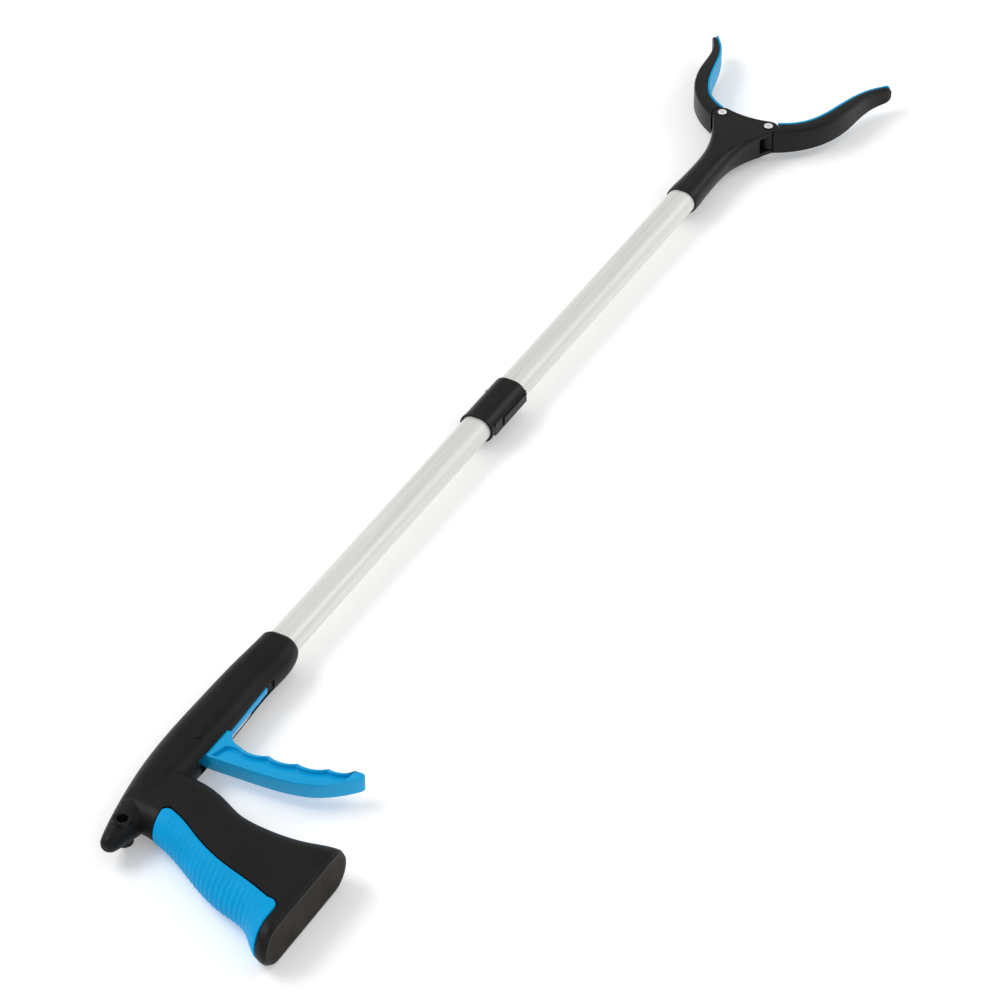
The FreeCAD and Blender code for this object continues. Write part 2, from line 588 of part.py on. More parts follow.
def yoke():
    stem, cross = (-STEM_HALF, STEM_HALF), (-CROSS_HALF, CROSS_HALF)
    front = RIVET[0] + PIN_AHEAD + 2.4
    plates = []
    for z in ((YOKE_GAP, YOKE_HIGH), (-YOKE_HIGH, -YOKE_GAP)):
        plates += [box((YOKE_X[0], CROSS_X + 1), stem, z), box((CROSS_X, front), cross, z)]
    back = box(YOKE_X, stem, (-YOKE_HIGH, YOKE_HIGH))
    tail = rod((FERRULE_X[1] + RUN, CABLE_Y, 0), (YOKE_X[0] + 0.5, CABLE_Y, 0), 2.0)
    cuts = [post(yoke_pin_at(s), (-10, 10), PIN_R + FIT / 2) for s in (-1, 1)]
    cuts.append(rod((FERRULE_X[0], CABLE_Y, 0), (YOKE_X[0] + 3, CABLE_Y, 0), CABLE_R + FIT))
    return back.fuse(plates + [tail]).cut(cuts)


def yoke_pins():
    return Part.makeCompound([post(yoke_pin_at(s), (-4.5, 4.5), PIN_R) for s in (-1, 1)])


def cable_ferrule():
    sleeve = rod((FERRULE_X[0], CABLE_Y, 0), (FERRULE_X[1], CABLE_Y, 0), FERRULE_R)
    return sleeve.cut(rod((FERRULE_X[0] - 1, CABLE_Y, 0), (FERRULE_X[1] + 1, CABLE_Y, 0), CABLE_R + FIT))


def band(near, far):
    """Closed outline between two smooth curves that run side by side."""
    return [spline(near), line(near[-1], far[-1]), spline(far), line(far[0], near[0])]


def offset_points(points, depth):
    """Points moved sideways by depth, to the left of the way along them."""
    curve = spline(points)
    moved = []
    for x, y in points:
        t = curve.parameter(V(x, y, 0))
        way = curve.tangent(t)[0]
        moved.append((x - way.y * depth, y + way.x * depth))
    return moved


def jaw_taper():
    """Side view of a jaw: it gets lower towards a round tip."""
    x0, x1, nose = 340.0, *JAW_NOSE
    side = [(x0, JAW_BASE_HALF), (JAW_TAPER_X, JAW_BASE_HALF - 0.2), (x1, JAW_TIP_HALF)]
    top = [V(x, 0, h) for x, h in side]
    bottom = [V(x, 0, -h) for x, h in side[::-1]]
    points = top + bottom
    curves = [Part.LineSegment(p, q) for p, q in zip(points, points[1:] + points[:1]) if p.x != q.x]
    curves += [Part.Arc(top[-1], V(nose, 0, 0), bottom[0]), Part.LineSegment(bottom[-1], top[0])]
    wire = Part.Wire(Part.__sortEdges__([c.toShape() for c in curves]))
    return Part.Face(wire).extrude(Y * 80)


def jaw_finger():
    """Curved finger, cut back behind the liner and round the fork's lug."""
    finger = slab(band(JAW_OUTER, offset_points(JAW_INNER, LINER)), (-10, 10))
    return finger.common(jaw_taper()).cut(post(RIVET, (-20, 20), LUG_R + 0.5))


def jaw():
    """Left jaw: curved finger, boss on the rivet and the thin arm that the yoke pulls."""
    x, y = RIVET
    inside = (-FORK_HALF + RUN, FORK_HALF - RUN)
    boss = post(RIVET, inside, LUG_R)
    corners = [(x - 4.0, y + 1.5), (x + 1.0, y + 12.0), (x + 8.0, y + 12.0), (x + 3.6, y + 1.5)]
    bridge = slab([line(p, q) for p, q in zip(corners, corners[1:] + corners[:1])], inside)
    pin = yoke_pin_at(1)
    way = V(pin[0] - x, pin[1] - y, 0).normalize()
    arm = link(RIVET, along(way, ARM_REACH), ARM_WIDE, (-ARM_HALF, ARM_HALF))
    slot = link(along(way, ARM_SLOT[0]), along(way, ARM_SLOT[1]), PIN_R + 0.08, (-5, 5))
    clear = post(RIVET, (-20, 20), RIVET_R + 0.05)
    return jaw_finger().fuse([boss, bridge, arm]).cut([slot, clear])


def along(way, distance):
    """Plan point at a distance from the rivet along a unit vector."""
    return (RIVET[0] + way.x * distance, RIVET[1] + way.y * distance)


def jaw_liner():
    """Soft liner on the jaw's gripping face."""
    strip = slab(band(JAW_INNER, offset_points(JAW_INNER, LINER - 0.02)), (-10, 10))
    return strip.common(jaw_taper())


def build():
    top, bottom = handle_shells()
    shapes = {
        "handle_shell_upper": top, "handle_shell_lower": bottom, "grip_pad": grip_pad(),
        "butt_cap": butt_cap(),
        "shell_screws": shell_screws(), "trigger_pin": trigger_pin(), "cable_guide": cable_guide(),
        "barrel_screw": tube_screw(BARREL_SCREW_X, -8.4), "lower_tube": lower_tube(),
        "lower_plug": lower_plug(),
        "fold_sleeve": fold_sleeve(), "fold_pin": fold_pin(), "cable_lead": cable_lead(),
        "cable_fold": cable_fold(), "trigger": trigger(), "trigger_leaf": trigger_leaf(),
        "cable_anchor": cable_anchor(), "cable_lower": cable_lower(), "upper_tube": upper_tube(),
        "fold_tongue": fold_tongue(), "tongue_pin": tongue_pin(), "lock_slider": lock_slider(),
        "head_fork": head_fork(), "head_screw": tube_screw(HEAD_SCREW_X, -7.5), "jaw_rivets": jaw_rivets(),
        "rivet_washers": rivet_washers(), "head_spring": head_spring(), "spring_seat": spring_seat(),
        "yoke": yoke(), "yoke_pins": yoke_pins(), "cable_upper": cable_upper(),
        "cable_ferrule": cable_ferrule(),
        "jaw_left": jaw(), "liner_left": jaw_liner(), "jaw_right": mirrored(jaw()),
        "liner_right": mirrored(jaw_liner()),
    }
    for shape in shapes.values():
        shape.translate(OFFSET)
    return shapes


def main():
    os.makedirs("parts", exist_ok=True)
    for name, shape in build().items():
        room = shape.BoundBox
        print(f"{name:20s} solids {len(shape.Solids)} valid {shape.isValid()} volume {shape.Volume:9.1f}"
              f"  x {room.XMin:7.1f} {room.XMax:7.1f}  y {room.YMin:7.1f} {room.YMax:7.1f}"
              f"  z {room.ZMin:6.2f} {room.ZMax:6.2f}")
        shape.exportStep(f"parts/{name}.step")


if __name__ == "__main__":
    main()
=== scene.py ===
"""The looks of the reacher grabber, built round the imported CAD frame.

Shapes are drawn in the shaft's own frame, in millimetres: X runs along the shaft from handle to jaws, Z is the
normal of the handle and jaw plane, and the grip hangs towards -Y.  at() turns such a point into the row frame.
"""
import bmesh
import bpy
import json
import math
import numpy as np
from mathutils import Matrix, Vector


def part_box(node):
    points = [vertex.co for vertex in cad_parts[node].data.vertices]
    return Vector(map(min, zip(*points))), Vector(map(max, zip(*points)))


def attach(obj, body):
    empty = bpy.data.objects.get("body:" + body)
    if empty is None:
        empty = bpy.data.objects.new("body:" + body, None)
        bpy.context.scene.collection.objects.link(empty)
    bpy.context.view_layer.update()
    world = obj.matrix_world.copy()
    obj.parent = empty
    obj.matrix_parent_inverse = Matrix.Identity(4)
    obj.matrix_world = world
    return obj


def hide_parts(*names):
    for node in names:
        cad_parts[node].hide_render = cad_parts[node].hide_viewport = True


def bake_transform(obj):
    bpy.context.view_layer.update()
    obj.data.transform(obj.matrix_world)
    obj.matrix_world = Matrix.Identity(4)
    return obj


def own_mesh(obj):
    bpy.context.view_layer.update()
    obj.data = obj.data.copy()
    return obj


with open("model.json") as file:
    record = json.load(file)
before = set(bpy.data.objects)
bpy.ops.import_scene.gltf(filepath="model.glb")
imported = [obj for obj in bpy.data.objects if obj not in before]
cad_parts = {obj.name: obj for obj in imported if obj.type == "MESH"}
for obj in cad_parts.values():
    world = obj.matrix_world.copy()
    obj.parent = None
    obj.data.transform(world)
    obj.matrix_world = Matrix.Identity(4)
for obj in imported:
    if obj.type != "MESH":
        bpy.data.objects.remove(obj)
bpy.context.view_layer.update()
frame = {"nodes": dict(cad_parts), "record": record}
NODES = frame["nodes"]

MM = 0.001
TUBE_REAR_X = -198.0                     # rear end of the lower tube along the shaft
tube_low, tube_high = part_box("lower_tube")
ORIGIN = Vector((tube_low.x - TUBE_REAR_X * MM, (tube_low.y + tube_high.y) / 2, (tube_low.z + tube_high.z) / 2))


def at(x, y, z=0.0):
    """Point of the shaft frame, in the row frame."""
    return ORIGIN + Vector((x, y, z)) * MM


# ---- sizes of the shaft frame, in millimetres --------------------------------------------------------
GRIP = [(3.0, -298.0, 19.0, 8.6), (-6.0, -298.4, 19.2, 9.5), (-16.0, -299.2, 19.8, 9.8),
        (-32.0, -303.6, 21.3, 10.4), (-50.0, -312.5, 22.3, 10.8), (-70.0, -318.1, 25.4, 11.0),
        (-88.0, -320.6, 29.3, 11.4), (-99.0, -324.4, 35.6, 12.0), (-105.0, -325.4, 37.2, 12.1)]
PAD_EDGE = [(-306.5, -20.5), (-310.5, -30.0), (-318.5, -44.0), (-326.8, -63.0), (-332.2, -82.0),
            (-336.4, -93.5)]
PAD_TOP_Y, PAD_FOOT_Y = -18.1, -100.1
PAD_GROOVE = 0.8
PAD_PROUD, PAD_DEPTH = 0.5, 1.9
RIB_PITCH, RIB_HIGH = 3.3, 0.5
PIVOT = (-258.1, -4.7)
PIVOT_R, HUB_R = 2.54, 6.5
TRIGGER_HALF, HUB_HALF, WEB_HALF = 4.5, 4.0, 2.4
BARREL_FLOOR_Y = -11.0                   # above this the trigger is inside the barrel and no thicker than its hub
LEVER_BACK = [(-263.4, -15.0), (-262.8, -25.0), (-261.9, -40.0), (-260.1, -56.0), (-255.9, -69.8),
              (-248.4, -80.6), (-242.0, -86.8)]
KNUCKLES = [(-237.8, -82.0), (-242.8, -69.8), (-246.9, -54.8), (-248.9, -39.6), (-250.4, -25.0)]
SCALLOP_DEPTH = 2.0
RIM_BACK, RIM_FRONT = 1.5, 1.7           # width of the rim round the lever's pocket
RIVET = (351.0, 15.1)
RIVET_SHANK_R, RIVET_BORE_R, RIVET_FLOOR_Z = 1.95, 0.75, 6.4
LUG_R = 5.9
PIN_AHEAD, PIN_Y = 2.75, 6.6             # yoke pin: ahead of the rivet, and off the shaft's axis
ARM_HALF_WIDTH, ARM_HALF_HEIGHT, ARM_REACH = 2.9, 2.0, 9.0
ARM_HOLE_AT, ARM_HOLE_R = 8.75, 1.58
FORK_HALF = 4.9
PLATE_HALF = 7.8
JAW_HEIGHTS = ([340.0, 392.0, 425.4], [7.6, 7.4, 5.4])        # along the shaft, and the half height there
JAW_OUTER = [(346.9, 20.4), (350.6, 26.2), (357.4, 34.1), (366.6, 41.3), (378.0, 46.4), (391.0, 49.3),
             (404.0, 50.8), (416.0, 53.8), (427.2, 60.1)]
JAW_INNER = [(358.0, 18.0), (361.9, 24.6), (368.3, 31.2), (378.2, 36.5), (390.0, 40.1), (403.4, 43.3),
             (417.0, 48.1), (429.6, 57.0)]
LINER = 1.4
CABLE_R, CABLE_Y = 0.7, 3.6
LEAF_X = (-242.9, -206.0)                # root and tip of the leaf
LEAF_ROOT_Y, LEAF_TIP_Y = (-14.0, -11.9), (-12.4, -10.7)
LEAF_Z = (-0.9, 2.7)


# ---- curves and meshes -------------------------------------------------------------------------------
def smooth(points, count):
    """Points along the natural cubic spline through the given points, evenly spaced in chord length."""
    p = np.array(points, float)
    t = np.concatenate([[0], np.cumsum(np.linalg.norm(np.diff(p, axis=0), axis=1))])
    h = np.diff(t)
    n = len(p)
    a = np.eye(n)
    b = np.zeros_like(p)
    for i in range(1, n - 1):
        a[i, i - 1:i + 2] = h[i - 1], 2 * (h[i - 1] + h[i]), h[i]
        b[i] = 6 * ((p[i + 1] - p[i]) / h[i] - (p[i] - p[i - 1]) / h[i - 1])
    m = np.linalg.solve(a, b)
    out = []
    for s in np.linspace(0, t[-1], count):
        i = min(max(np.searchsorted(t, s) - 1, 0), n - 2)
        u, w = t[i + 1] - s, s - t[i]
        out.append(tuple((m[i] * u ** 3 + m[i + 1] * w ** 3) / (6 * h[i])
                         + (p[i] / h[i] - m[i] * h[i] / 6) * u + (p[i + 1] / h[i] - m[i + 1] * h[i] / 6) * w))
    return out


def arc(p, q, depth, count=9):
    """Arc from p to q that dips by depth to the left of the way, without its last point."""
    p, q = np.array(p, float), np.array(q, float)
    chord = np.linalg.norm(q - p)
    way = (q - p) / chord
    left = np.array([-way[1], way[0]])
    radius = (chord ** 2 / 4 + depth ** 2) / (2 * depth)
    centre = (p + q) / 2 + left * (depth - radius)
    half = math.asin(chord / (2 * radius))
    return [tuple(centre + radius * (math.sin(a) * way + math.cos(a) * left))
            for a in np.linspace(-half, half, count)[:-1]]


def new_object(name, mesh):
    obj = bpy.data.objects.new(name, mesh)
    bpy.context.scene.collection.objects.link(obj)
    return obj


def tidy(mesh, merge=0.00001):
    """Joins loose seams and points the faces outwards."""
    work = bmesh.new()
    work.from_mesh(mesh)
    bmesh.ops.remove_doubles(work, verts=work.verts, dist=merge)
    bmesh.ops.recalc_face_normals(work, faces=work.faces)
    work.to_mesh(mesh)
    work.free()


def shade(obj, angle=35.0):
    """Smooth shading that keeps edges sharper than angle."""
    work = bmesh.new()
    work.from_mesh(obj.data)
    for face in work.faces:
        face.smooth = True
    for edge in work.edges:
        if len(edge.link_faces) == 2:
            edge.smooth = edge.calc_face_angle(0.0) < math.radians(angle)
    work.to_mesh(obj.data)
    work.free()


def loft(name, rings):
    """Closed mesh through rings of the same number of points, given in the shaft frame."""
    count = len(rings[0])
    verts = [at(*p) for ring in rings for p in ring]
    faces = []
    for i in range(len(rings) - 1):
        for j in range(count):
            k = (j + 1) % count
            faces.append((i * count + j, i * count + k, (i + 1) * count + k, (i + 1) * count + j))
    faces.append(tuple(range(count)))
    faces.append(tuple(range((len(rings) - 1) * count, len(rings) * count))[::-1])
    mesh = bpy.data.meshes.new(name)
    mesh.from_pydata(verts, [], faces)
    tidy(mesh)
    return new_object(name, mesh)


def plate(name, outlines, z, edge):
    """Flat part between the heights z with rounded edges; outlines are the outside and any holes."""
    curve = bpy.data.curves.new(name, "CURVE")
    curve.dimensions = "2D"
    curve.fill_mode = "BOTH"
    curve.extrude = ((z[1] - z[0]) / 2 - edge) * MM
    curve.bevel_depth = edge * MM
    curve.bevel_resolution = 3
    curve.offset = -edge * MM
    for outline in outlines:
        spline = curve.splines.new("POLY")
        spline.points.add(len(outline) - 1)
        for point, (x, y) in zip(spline.points, outline):
            point.co = (x * MM, y * MM, 0, 1)
        spline.use_cyclic_u = True
    holder = new_object(name + "_curve", curve)
    mesh = bpy.data.meshes.new_from_object(holder)
    bpy.data.objects.remove(holder)
    mesh.transform(Matrix.Translation(at(0, 0, (z[0] + z[1]) / 2)))
    tidy(mesh)
    return new_object(name, mesh)


def circle(centre, radius, count=48):
    return [(centre[0] + radius * math.cos(a), centre[1] + radius * math.sin(a))
            for a in np.linspace(0, 2 * math.pi, count, endpoint=False)]


def join(name, parts):
    """One object made of several closed meshes."""
    work = bmesh.new()
    for part in parts:
        work.from_mesh(part.data)
        bpy.data.objects.remove(part)
    mesh = bpy.data.meshes.new(name)
    work.to_mesh(mesh)
    work.free()
    return new_object(name, mesh)


def carve(obj, cutters, operation="DIFFERENCE"):
    """Boolean of obj with each cutter, which are used up."""
    for cutter in cutters:
        step = obj.modifiers.new("carve", "BOOLEAN")
        step.operation = operation
        step.solver = "EXACT"
        step.object = cutter
        mesh = bpy.data.meshes.new_from_object(obj.evaluated_get(bpy.context.evaluated_depsgraph_get()))
        obj.modifiers.clear()
        obj.data = mesh
        bpy.data.objects.remove(cutter)
    return obj


def finish_piece(obj, material, body, slot, *nodes):
    """Material, body and the CAD nodes that a piece stands for; slot is not used."""
    obj.data.materials.clear()
    obj.data.materials.append(material)
    if body:
        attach(obj, body)
    if nodes:
        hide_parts(*nodes)
    return obj


# ---- materials ---------------------------------------------------------------------------------------
class Surface:
    """A Principled material whose colour, roughness and bump come from noise in object space."""

    def __init__(self, name, color, roughness, metallic=0.0, specular=0.5):
        self.material = bpy.data.materials.new(name)
        self.material.use_nodes = True
        self.nodes = self.material.node_tree.nodes
        self.links = self.material.node_tree.links
        self.shader = next(n for n in self.nodes if n.type == "BSDF_PRINCIPLED")
        self.shader.inputs["Base Color"].default_value = (*color, 1)
        self.shader.inputs["Roughness"].default_value = roughness
        self.shader.inputs["Metallic"].default_value = metallic
        self.shader.inputs["Specular IOR Level"].default_value = specular
        self.material.diffuse_color = (*color, 1)
        self.color, self.roughness = color, roughness
        self.coords = self.nodes.new("ShaderNodeTexCoord")
        self.normal = None

    def noise(self, scale, detail=3.0, stretch=(1, 1, 1)):
        mapping = self.nodes.new("ShaderNodeMapping")
        mapping.inputs["Scale"].default_value = stretch
        self.links.new(self.coords.outputs["Object"], mapping.inputs["Vector"])
        noise = self.nodes.new("ShaderNodeTexNoise")
        noise.inputs["Scale"].default_value = scale
        noise.inputs["Detail"].default_value = detail
        self.links.new(mapping.outputs["Vector"], noise.inputs["Vector"])
        return noise.outputs["Fac"]

    def tint(self, scale, darker, lighter, **more):
        """Colour that wanders between two multiples of the base colour."""
        ramp = self.nodes.new("ShaderNodeValToRGB")
        ramp.color_ramp.elements[0].position = 0.35
        ramp.color_ramp.elements[1].position = 0.65
        ramp.color_ramp.elements[0].color = (*[c * darker for c in self.color], 1)
        ramp.color_ramp.elements[1].color = (*[min(1, c * lighter) for c in self.color], 1)
        self.links.new(self.noise(scale, **more), ramp.inputs["Fac"])
        self.links.new(ramp.outputs["Color"], self.shader.inputs["Base Color"])
        return self

    def patchy(self, scale, spread, **more):
        """Roughness that wanders by spread either way."""
        ramp = self.nodes.new("ShaderNodeMapRange")
        ramp.inputs["To Min"].default_value = max(0.03, self.roughness - spread)
        ramp.inputs["To Max"].default_value = min(1.0, self.roughness + spread)
        self.links.new(self.noise(scale, **more), ramp.inputs["Value"])
        self.links.new(ramp.outputs["Result"], self.shader.inputs["Roughness"])
        return self

    def soften(self, radius_mm):
        """Rounds the look of hard edges."""
        bevel = self.nodes.new("ShaderNodeBevel")
        bevel.samples = 6
        bevel.inputs["Radius"].default_value = radius_mm * MM
        self.attach(bevel)
        return self

    def grain(self, scale, strength, depth_mm=0.05, **more):
        bump = self.nodes.new("ShaderNodeBump")
        bump.inputs["Strength"].default_value = strength
        bump.inputs["Distance"].default_value = depth_mm * MM
        self.links.new(self.noise(scale, **more), bump.inputs["Height"])
        self.attach(bump)
        return self

    def attach(self, node):
        if self.normal is not None:
            self.links.new(self.normal, node.inputs["Normal"])
        self.normal = node.outputs["Normal"]
        self.links.new(self.normal, self.shader.inputs["Normal"])


def black_plastic():
    """Moulded black plastic with a fine spark-eroded texture."""
    s = Surface("black_plastic", (0.0070, 0.0066, 0.0061), 0.46, specular=0.17)
    return s.tint(60, 0.85, 1.2).patchy(900, 0.07).soften(0.45).grain(1500, 0.35, 0.05).material


def smooth_black():
    """Glossier black of the jaws and the sleeve."""
    s = Surface("smooth_black", (0.0068, 0.0066, 0.0063), 0.36, specular=0.2)
    return s.tint(60, 0.85, 1.2).patchy(500, 0.06).soften(0.4).grain(1200, 0.2, 0.04).material


def blue_plastic():
    """Moulded blue lever, half gloss, with slight flow marks."""
    s = Surface("blue_plastic", (0.0, 0.36, 0.70), 0.27, specular=0.3)
    return s.tint(35, 0.94, 1.05).patchy(250, 0.05).soften(0.3).grain(900, 0.12, 0.04).material


def blue_rubber():
    """Soft overmould of the grip."""
    s = Surface("blue_rubber", (0.0, 0.34, 0.70), 0.5, specular=0.1)
    return s.tint(45, 0.93, 1.05).patchy(500, 0.06).grain(2200, 0.35, 0.04).material


def liner_rubber():
    """Soft liner of the jaws."""
    s = Surface("liner_rubber", (0.0, 0.36, 0.68), 0.4, specular=0.2)
    return s.tint(50, 0.92, 1.06).patchy(400, 0.06).soften(0.25).grain(1800, 0.25, 0.04).material


def butt_rubber():
    """Dark, slightly brown cap of the butt."""
    s = Surface("butt_rubber", (0.027, 0.022, 0.017), 0.62, specular=0.1)
    return s.tint(80, 0.75, 1.3).patchy(600, 0.06).soften(0.3).grain(1300, 0.5, 0.06).material


def aluminium():
    """Anodised tube: satin, with drawing lines along the shaft."""
    s = Surface("aluminium", (0.80, 0.80, 0.76), 0.5, metallic=0.4, specular=0.4)
    s.shader.inputs["Anisotropic"].default_value = 0.4
    s.tint(8, 0.94, 1.05, stretch=(0.6, 60, 60)).patchy(30, 0.05, stretch=(0.5, 40, 40))
    return s.grain(90, 0.12, 0.02, stretch=(0.3, 30, 30)).material


def steel():
    s = Surface("steel", (0.55, 0.55, 0.55), 0.32, metallic=1.0)
    return s.tint(200, 0.85, 1.1).patchy(600, 0.08).soften(0.1).grain(1500, 0.2, 0.02).material


def rivet_metal():
    s = Surface("rivet", (0.95, 0.95, 0.95), 0.25, metallic=0.5)
    return s.tint(250, 0.92, 1.05).patchy(700, 0.06).grain(1500, 0.12, 0.02).material


def coated_cable():
    """Plastic-coated stranded cable: nearly white, with the lay of its strands."""
    s = Surface("cable", (0.80, 0.80, 0.78), 0.35, metallic=0.1)
    return s.tint(900, 0.85, 1.05).grain(1800, 0.4, 0.08, stretch=(0.5, 2, 2)).material


def nylon():
    s = Surface("white_nylon", (0.72, 0.72, 0.68), 0.4)
    return s.tint(90, 0.94, 1.03).patchy(400, 0.05).soften(0.2).grain(1200, 0.2, 0.03).material


BLACK, SMOOTH_BLACK, BLUE, PAD_BLUE = black_plastic(), smooth_black(), blue_plastic(), blue_rubber()
LINER_BLUE, BUTT, ALUMINIUM, STEEL = liner_rubber(), butt_rubber(), aluminium(), steel()
RIVET_METAL, CABLE, NYLON = rivet_metal(), coated_cable(), nylon()
FINISH = {"black_plastic": BLACK, "blue_plastic": BLUE, "blue_rubber": PAD_BLUE, "liner_rubber": LINER_BLUE,
          "butt_rubber": BUTT, "aluminium": ALUMINIUM, "steel": STEEL, "rivet": RIVET_METAL, "cable": CABLE,
          "white_nylon": NYLON}
GLOSSIER = ("fold_sleeve", "lock_slider", "fold_tongue", "jaw_left", "jaw_right", "head_fork")


def paint_nodes():
    """Every CAD node takes the material of its slot."""
    for part in frame["record"]["subparts"]:
        obj = NODES[part["node"]]
        material = SMOOTH_BLACK if part["node"] in GLOSSIER else FINISH[part["material_slot"]]
        obj.data.materials.clear()
        obj.data.materials.append(material)


# ---- handle ------------------------------------------------------------------------------------------
def grip_at(y):
    """Centre x, half width and half height of the grip at y."""
    fine = np.array(smooth(GRIP, 200))
    return [float(np.interp(-y, -fine[:, 0], fine[:, k])) for k in (1, 2, 3)]


def pad_front(y):
    """Front edge of the pad at y, rounded at its two corners."""
    edge = np.array(smooth(PAD_EDGE, 60))
    x = float(np.interp(-y, -edge[:, 1], edge[:, 0]))
    near = min(PAD_TOP_Y - y, y - PAD_FOOT_Y)
    corner = 5.0
    if near < corner:
        x -= corner - math.sqrt(max(0.0, corner ** 2 - (corner - near) ** 2))
    return x - PAD_GROOVE


def pad_row(y, proud, columns=56):
    """Points over the pad at y, from its upper front edge round the back to its lower front edge."""
    centre, a, b = grip_at(y)
    a, b = a + proud, b + proud
    flat = a - b
    front = pad_front(y)
    straight = max(front - (centre - flat), 0.0)
    length = 2 * straight + math.pi * b
    row = []
    for s in np.linspace(0, length, columns):
        if s < straight:
            row.append((front - s, y, b))
        elif s > length - straight:
            row.append((front - (length - s), y, -b))
        else:
            angle = (s - straight) / b
            row.append((centre - flat - b * math.sin(angle), y, b * math.cos(angle)))
    return row


def rib_height(y, share):
    """Rounded cross ribs that fade out near the pad's edges."""
    wave = 0.5 + 0.5 * math.cos(2 * math.pi * (y - PAD_TOP_Y) / RIB_PITCH)
    ends = min(1.0, max(0.0, (PAD_TOP_Y - y - 4.0) / 3.0), max(0.0, (y - PAD_FOOT_Y - 3.0) / 3.0))
    sides = min(1.0, max(0.0, min(share, 1 - share) / 0.09 - 0.7))
    return RIB_HIGH * (wave ** 0.7 - 1.0) * ends * sides


def grip_pad():
    """Soft cover of the grip: outer face with fine cross ribs, rolled edges and a plain inner face."""
    columns = 64
    ys = list(np.linspace(PAD_TOP_Y, PAD_FOOT_Y, 330))
    outer, inner = [], []
    for y in ys:
        edge_y = min(PAD_TOP_Y - y, y - PAD_FOOT_Y)
        row = pad_row(y, PAD_PROUD, columns)
        deep = pad_row(y, -PAD_DEPTH, columns)
        lifted = []
        for j, (p, q) in enumerate(zip(row, deep)):
            share = j / (columns - 1)
            edge = min(edge_y, share * 60, (1 - share) * 60)
            roll = 0.7 * (1 - math.sqrt(max(0.0, 1 - (1 - min(edge, 1.0)) ** 2)))
            drop = roll - rib_height(y, share)
            way = (Vector(p) - Vector(q)).normalized()
            lifted.append(tuple(Vector(p) - way * drop))
        outer.append(lifted)
        inner.append(deep)
    rows = len(ys)
    verts = [at(*p) for row in outer + inner for p in row]
    faces = []
    for i in range(rows - 1):
        for j in range(columns - 1):
            a = i * columns + j
            b = rows * columns + a
            faces.append((a, a + 1, a + columns + 1, a + columns))
            faces.append((b + columns, b + columns + 1, b + 1, b))
    for i in range(rows - 1):
        for j in (0, columns - 1):
            a, b = i * columns + j, (rows + i) * columns + j
            faces.append((a, a + columns, b + columns, b))
    for j in range(columns - 1):
        for i in (0, rows - 1):
            a, b = i * columns + j, (rows + i) * columns + j
            faces.append((a, a + 1, b + 1, b))
    mesh = bpy.data.meshes.new("soft_grip")
    mesh.from_pydata(verts, [], faces)
    tidy(mesh)
    pad = new_object("soft_grip", mesh)
    shade(pad, 50)
    finish_piece(pad, PAD_BLUE, "handle", "blue_rubber", "grip_pad")


# ---- trigger -----------------------------------------------------------------------------------------
def lever_outline():
    back = smooth(LEVER_BACK, 40)
    tip = [(-240.6, -87.6), (-239.2, -87.9), (-237.9, -87.1), (-237.4, -85.4)]
    points = back + tip
    for p, q in zip(KNUCKLES, KNUCKLES[1:]):
        points += arc(p, q, SCALLOP_DEPTH)
    points += smooth([KNUCKLES[-1], (-248.2, -19.2), (-243.0, -14.9)], 12)
    points += [(-243.0, -11.8), (-253.0, -3.0), (-263.2, -4.0)]
    return points


def pocket_outline():
    """Inner edge of the rim, which keeps the finger scallops and slants down from the barrel."""
    points = smooth([(x + RIM_BACK, y) for x, y in LEVER_BACK[:-1]], 36)
    inner = [(x - RIM_FRONT, y + 0.6) for x, y in KNUCKLES]
    for p, q in zip(inner, inner[1:]):
        points += arc(p, q, SCALLOP_DEPTH)
    return points + smooth([inner[-1], (-252.0, -20.6), (-253.2, -17.6)], 8)


def wider(outline, by):
    """Outline pushed out by a distance."""
    p = np.array(outline)
    way = np.roll(p, -1, axis=0) - np.roll(p, 1, axis=0)
    way /= np.linalg.norm(way, axis=1)[:, None]
    side = np.stack([way[:, 1], -way[:, 0]], axis=1)
    area = 0.5 * np.sum(p[:, 0] * np.roll(p[:, 1], -1) - np.roll(p[:, 0], -1) * p[:, 1])
    return [tuple(q) for q in p + side * by * (1 if area > 0 else -1)]


def trigger():
    outer, pocket = lever_outline(), pocket_outline()
    rim = plate("rim", [outer, pocket], (-TRIGGER_HALF, TRIGGER_HALF), 0.55)
    web = plate("web", [wider(pocket, 0.6)], (-WEB_HALF, WEB_HALF), 0.3)
    hub = plate("hub", [circle(PIVOT, HUB_R), circle(PIVOT, PIVOT_R)], (-HUB_HALF, HUB_HALF), 0.3)
    lever = join("trigger_lever", [rim, web, hub])
    limit = HUB_HALF * MM
    for v in lever.data.vertices:
        if v.co.y > at(0, BARREL_FLOOR_Y).y:
            v.co.z = min(max(v.co.z, ORIGIN.z - limit), ORIGIN.z + limit)
    shade(lever, 40)
    finish_piece(lever, BLUE, "trigger", "blue_plastic", "trigger")


# ---- jaws --------------------------------------------------------------------------------------------
def rounded_section(across, half, corner, steps=6):
    """Rounded rectangle from 0 to across, and half either way, as (distance across, height) points."""
    points = []
    for cx, cz, first in ((across - corner, half - corner, 0), (corner, half - corner, 90),
                          (corner, -half + corner, 180), (across - corner, -half + corner, 270)):
        for a in np.linspace(first, first + 90, steps):
            r = math.radians(a)
            points.append((cx + corner * math.cos(r), cz + corner * math.sin(r)))
    return points


